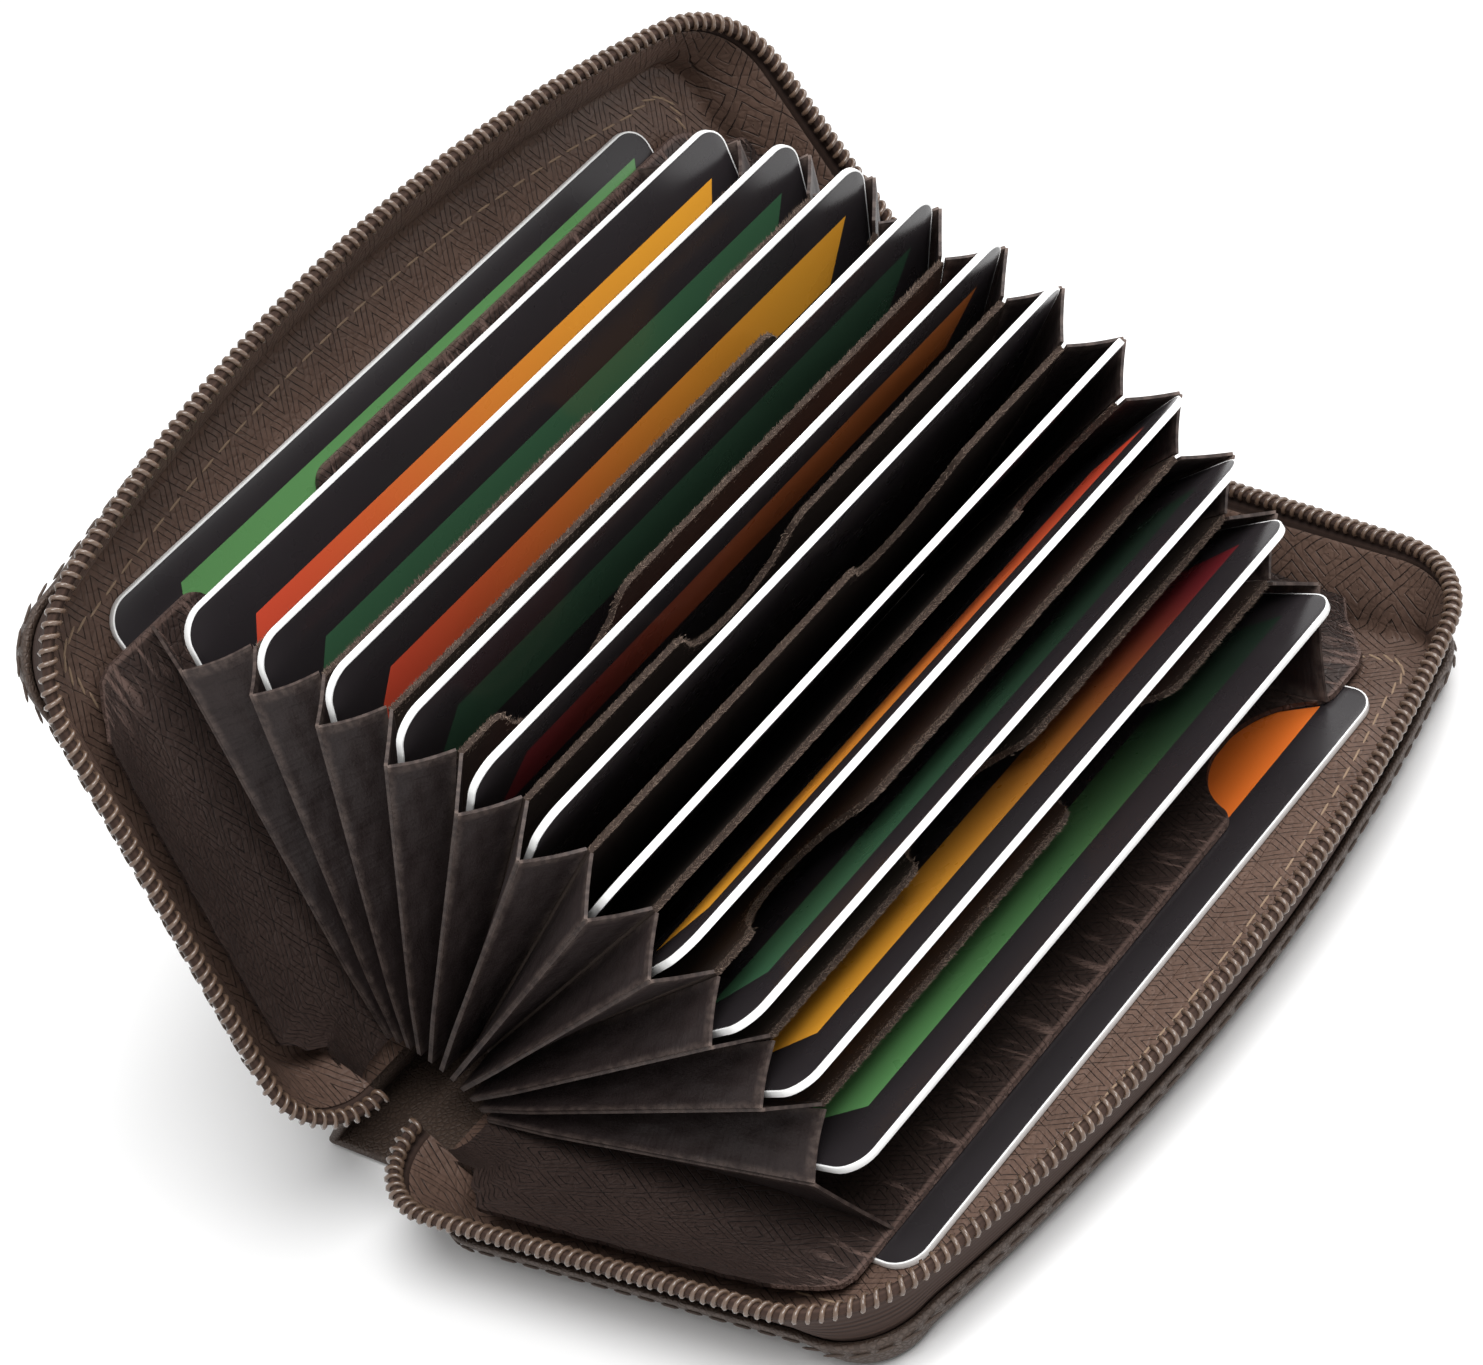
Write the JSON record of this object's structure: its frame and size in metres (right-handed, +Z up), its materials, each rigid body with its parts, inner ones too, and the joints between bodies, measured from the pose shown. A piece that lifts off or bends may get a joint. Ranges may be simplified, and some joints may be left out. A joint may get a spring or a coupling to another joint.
{
  "type": "card case",
  "caption": "Zip-round leather card case, standing open as a fan of card pockets between a lower cover that lies flat and an upper cover that leans back.",
  "frame": {"origin": "middle of the flat underside of the lower cover, which the open case rests on", "axes": "+Z up; +X along the spine; -Y from the spine to the free edge of the lower cover"},
  "size_m": [0.127, 0.0987, 0.082],
  "materials": {
    "leather": "satin",
    "stiffener": "matt",
    "lining": "matt",
    "panel": "embossed",
    "divider": "matt",
    "gusset": "matt",
    "tape": "woven",
    "teeth": "satin",
    "metal": "satin",
    "card_green": "gloss",
    "card_red": "gloss",
    "card_black": "gloss",
    "card_yellow": "gloss",
    "card_orange": "gloss",
    "card_brown": "gloss"
  },
  "bodies": {
    "cover_b": {"leather_b": "leather", "board_b": "stiffener", "lining_b": "lining", "panel_b": "panel", "tape_b": "tape", "teeth_b": "teeth"},
    "cover_a": {"leather_a": "leather", "board_a": "stiffener", "lining_a": "lining", "panel_a": "panel", "tape_a": "tape", "teeth_a": "teeth"},
    "spine_link_b": {"spine_b": "leather"},
    "spine_link_a": {"spine_a": "leather"},
    "zip_slider": {"slider": "metal"},
    "zip_puller": {"puller": "metal"},
    "bank_card_01": {"card_01": "card_green"},
    "bank_card_02": {"card_02": "card_red"},
    "bank_card_03": {"card_03": "card_green"},
    "bank_card_04": {"card_04": "card_red"},
    "bank_card_05": {"card_05": "card_green"},
    "bank_card_06": {"card_06": "card_brown"},
    "bank_card_07": {"card_07": "card_black"},
    "bank_card_08": {"card_08": "card_black"},
    "bank_card_09": {"card_09": "card_yellow"},
    "bank_card_10": {"card_10": "card_green"},
    "bank_card_11": {"card_11": "card_orange"},
    "bank_card_12": {"card_12": "card_green"},
    "bank_card_13": {"card_13": "card_orange"},
    "pocket_11": {"gusset_11": "gusset"},
    "leaf_11": {"divider_11": "divider"},
    "pocket_10": {"gusset_10": "gusset"},
    "leaf_10": {"divider_10": "divider"},
    "pocket_09": {"gusset_09": "gusset"},
    "leaf_09": {"divider_09": "divider"},
    "pocket_08": {"gusset_08": "gusset"},
    "leaf_08": {"divider_08": "divider"},
    "pocket_07": {"gusset_07": "gusset"},
    "leaf_07": {"divider_07": "divider"},
    "pocket_06": {"gusset_06": "gusset", "zip_tail": "tape"},
    "leaf_06": {"divider_06": "divider"},
    "pocket_05": {"gusset_05": "gusset"},
    "leaf_05": {"divider_05": "divider"},
    "pocket_04": {"gusset_04": "gusset"},
    "leaf_04": {"divider_04": "divider"},
    "pocket_03": {"gusset_03": "gusset"},
    "leaf_03": {"divider_03": "divider"},
    "pocket_02": {"gusset_02": "gusset"},
    "leaf_02": {"divider_02": "divider"},
    "pocket_01": {"gusset_01": "gusset"}
  },
  "joints": [
    {"name": "fold_01", "type": "hinge", "parent": "cover_b", "child": "pocket_11", "pos_m": [0, 0.0325, 0.00391], "axis": [-1, 0, 0], "range_deg": [-12.2, 2.44], "deforming": ["gusset_11"]},
    {"name": "fold_02", "type": "hinge", "parent": "pocket_11", "child": "leaf_11", "pos_m": [0, 0.03043, 0.00521], "axis": [-1, 0, 0], "range_deg": [-4.6, 0.92]},
    {"name": "fold_03", "type": "hinge", "parent": "leaf_11", "child": "pocket_10", "pos_m": [0, 0.03066, 0.00597], "axis": [-1, 0, 0], "range_deg": [-4.6, 0.92], "deforming": ["gusset_10"]},
    {"name": "fold_04", "type": "hinge", "parent": "pocket_10", "child": "leaf_10", "pos_m": [0, 0.03095, 0.00672], "axis": [-1, 0, 0], "range_deg": [-3.6, 0.72]},
    {"name": "fold_05", "type": "hinge", "parent": "leaf_10", "child": "pocket_09", "pos_m": [0, 0.03129, 0.00744], "axis": [-1, 0, 0], "range_deg": [-3.6, 0.72], "deforming": ["gusset_09"]},
    {"name": "fold_06", "type": "hinge", "parent": "pocket_09", "child": "leaf_09", "pos_m": [0, 0.03167, 0.00814], "axis": [-1, 0, 0], "range_deg": [-3.95, 0.79]},
    {"name": "fold_07", "type": "hinge", "parent": "leaf_09", "child": "pocket_08", "pos_m": [0, 0.0321, 0.00882], "axis": [-1, 0, 0], "range_deg": [-3.95, 0.79], "deforming": ["gusset_08"]},
    {"name": "fold_08", "type": "hinge", "parent": "pocket_08", "child": "leaf_08", "pos_m": [0, 0.03258, 0.00946], "axis": [-1, 0, 0], "range_deg": [-3.75, 0.75]},
    {"name": "fold_09", "type": "hinge", "parent": "leaf_08", "child": "pocket_07", "pos_m": [0, 0.03309, 0.01007], "axis": [-1, 0, 0], "range_deg": [-3.75, 0.75], "deforming": ["gusset_07"]},
    {"name": "fold_10", "type": "hinge", "parent": "pocket_07", "child": "leaf_07", "pos_m": [0, 0.03365, 0.01065], "axis": [-1, 0, 0], "range_deg": [-3.85, 0.77]},
    {"name": "fold_11", "type": "hinge", "parent": "leaf_07", "child": "pocket_06", "pos_m": [0, 0.03424, 0.01119], "axis": [-1, 0, 0], "range_deg": [-3.85, 0.77], "deforming": ["gusset_06"]},
    {"name": "fold_12", "type": "hinge", "parent": "pocket_06", "child": "leaf_06", "pos_m": [0, 0.03487, 0.01168], "axis": [-1, 0, 0], "range_deg": [-3.3, 0.66]},
    {"name": "fold_13", "type": "hinge", "parent": "leaf_06", "child": "pocket_05", "pos_m": [0, 0.03553, 0.01214], "axis": [-1, 0, 0], "range_deg": [-3.3, 0.66], "deforming": ["gusset_05"]},
    {"name": "fold_14", "type": "hinge", "parent": "pocket_05", "child": "leaf_05", "pos_m": [0, 0.03621, 0.01256], "axis": [-1, 0, 0], "range_deg": [-3.95, 0.79]},
    {"name": "fold_15", "type": "hinge", "parent": "leaf_05", "child": "pocket_04", "pos_m": [0, 0.03692, 0.01293], "axis": [-1, 0, 0], "range_deg": [-3.95, 0.79], "deforming": ["gusset_04"]},
    {"name": "fold_16", "type": "hinge", "parent": "pocket_04", "child": "leaf_04", "pos_m": [0, 0.03765, 0.01326], "axis": [-1, 0, 0], "range_deg": [-3.95, 0.79]},
    {"name": "fold_17", "type": "hinge", "parent": "leaf_04", "child": "pocket_03", "pos_m": [0, 0.0384, 0.01353], "axis": [-1, 0, 0], "range_deg": [-3.95, 0.79], "deforming": ["gusset_03"]},
    {"name": "fold_18", "type": "hinge", "parent": "pocket_03", "child": "leaf_03", "pos_m": [0, 0.03917, 0.01375], "axis": [-1, 0, 0], "range_deg": [-4, 0.8]},
    {"name": "fold_19", "type": "hinge", "parent": "leaf_03", "child": "pocket_02", "pos_m": [0, 0.03995, 0.01391], "axis": [-1, 0, 0], "range_deg": [-4, 0.8], "deforming": ["gusset_02"]},
    {"name": "fold_20", "type": "hinge", "parent": "pocket_02", "child": "leaf_02", "pos_m": [0, 0.04074, 0.01402], "axis": [-1, 0, 0], "range_deg": [-4.85, 0.97]},
    {"name": "fold_21", "type": "hinge", "parent": "leaf_02", "child": "pocket_01", "pos_m": [0, 0.04154, 0.01406], "axis": [-1, 0, 0], "range_deg": [-4.85, 0.97], "deforming": ["gusset_01"]},
    {"name": "fold_22", "type": "hinge", "parent": "pocket_01", "child": "cover_a", "pos_m": [0, 0.0423, 0.01174], "axis": [-1, 0, 0], "range_deg": [-11.6, 2.32]},
    {"name": "spine_b_fold", "type": "hinge", "parent": "cover_b", "child": "spine_link_b", "pos_m": [0, 0.036, 0.0005], "axis": [-1, 0, 0], "range_deg": [-77.66, 15.54]},
    {"name": "spine_a_fold", "type": "hinge", "parent": "cover_a", "child": "spine_link_a", "pos_m": [0, 0.04481, 0.00754], "axis": [-1, 0, 0], "range_deg": [-25.08, 125.35]},
    {"name": "card_13_slide", "type": "slide", "parent": "cover_b", "child": "bank_card_13", "axis": [0, -1, 0], "range_m": [0, 0.004]},
    {"name": "card_12_slide", "type": "slide", "parent": "pocket_11", "child": "bank_card_12", "axis": [0, -0.9774, 0.2113], "range_m": [0, 0.055]},
    {"name": "card_11_slide", "type": "slide", "parent": "pocket_10", "child": "bank_card_11", "axis": [0, -0.9311, 0.3649], "range_m": [0, 0.055]},
    {"name": "card_10_slide", "type": "slide", "parent": "pocket_09", "child": "bank_card_10", "axis": [0, -0.878, 0.4787], "range_m": [0, 0.055]},
    {"name": "card_09_slide", "type": "slide", "parent": "pocket_08", "child": "bank_card_09", "axis": [0, -0.8039, 0.5948], "range_m": [0, 0.055]},
    {"name": "card_08_slide", "type": "slide", "parent": "pocket_07", "child": "bank_card_08", "axis": [0, -0.7193, 0.6947], "range_m": [0, 0.055]},
    {"name": "card_07_slide", "type": "slide", "parent": "pocket_06", "child": "bank_card_07", "axis": [0, -0.6198, 0.7848], "range_m": [0, 0.055]},
    {"name": "card_06_slide", "type": "slide", "parent": "pocket_05", "child": "bank_card_06", "axis": [0, -0.5255, 0.8508], "range_m": [0, 0.055]},
    {"name": "card_05_slide", "type": "slide", "parent": "pocket_04", "child": "bank_card_05", "axis": [0, -0.4035, 0.915], "range_m": [0, 0.055]},
    {"name": "card_04_slide", "type": "slide", "parent": "pocket_03", "child": "bank_card_04", "axis": [0, -0.274, 0.9617], "range_m": [0, 0.055]},
    {"name": "card_03_slide", "type": "slide", "parent": "pocket_02", "child": "bank_card_03", "axis": [0, -0.1374, 0.9905], "range_m": [0, 0.055]},
    {"name": "card_02_slide", "type": "slide", "parent": "pocket_01", "child": "bank_card_02", "axis": [0, 0.0314, 0.9995], "range_m": [0, 0.055]},
    {"name": "card_01_slide", "type": "slide", "parent": "cover_a", "child": "bank_card_01", "axis": [0, 0.2317, 0.9728], "range_m": [0, 0.004]},
    {"name": "slider_slide", "type": "slide", "parent": "pocket_06", "child": "zip_slider", "axis": [0, -0.6198, 0.7848], "range_m": [0, 0.003]},
    {"name": "puller_swing", "type": "hinge", "parent": "zip_slider", "child": "zip_puller", "pos_m": [0.0639, 0.03047, 0.01661], "axis": [0, -0.7848, -0.6198], "range_deg": [0, 150]}
  ],
  "couplings": [
    {"joint": "fold_02", "follows": "fold_01", "ratio": 0.37705},
    {"joint": "fold_03", "follows": "fold_01", "ratio": 0.37705},
    {"joint": "fold_04", "follows": "fold_01", "ratio": 0.29508},
    {"joint": "fold_05", "follows": "fold_01", "ratio": 0.29508},
    {"joint": "fold_06", "follows": "fold_01", "ratio": 0.32377},
    {"joint": "fold_07", "follows": "fold_01", "ratio": 0.32377},
    {"joint": "fold_08", "follows": "fold_01", "ratio": 0.30738},
    {"joint": "fold_09", "follows": "fold_01", "ratio": 0.30738},
    {"joint": "fold_10", "follows": "fold_01", "ratio": 0.31557},
    {"joint": "fold_11", "follows": "fold_01", "ratio": 0.31557},
    {"joint": "fold_12", "follows": "fold_01", "ratio": 0.27049},
    {"joint": "fold_13", "follows": "fold_01", "ratio": 0.27049},
    {"joint": "fold_14", "follows": "fold_01", "ratio": 0.32377},
    {"joint": "fold_15", "follows": "fold_01", "ratio": 0.32377},
    {"joint": "fold_16", "follows": "fold_01", "ratio": 0.32377},
    {"joint": "fold_17", "follows": "fold_01", "ratio": 0.32377},
    {"joint": "fold_18", "follows": "fold_01", "ratio": 0.32787},
    {"joint": "fold_19", "follows": "fold_01", "ratio": 0.32787},
    {"joint": "fold_20", "follows": "fold_01", "ratio": 0.39754},
    {"joint": "fold_21", "follows": "fold_01", "ratio": 0.39754},
    {"joint": "fold_22", "follows": "fold_01", "ratio": 0.95082},
    {"joint": "spine_b_fold", "follows": "fold_01", "ratio": 6.3651},
    {"joint": "spine_a_fold", "follows": "fold_01", "ratio": -10.274}
  ]
}
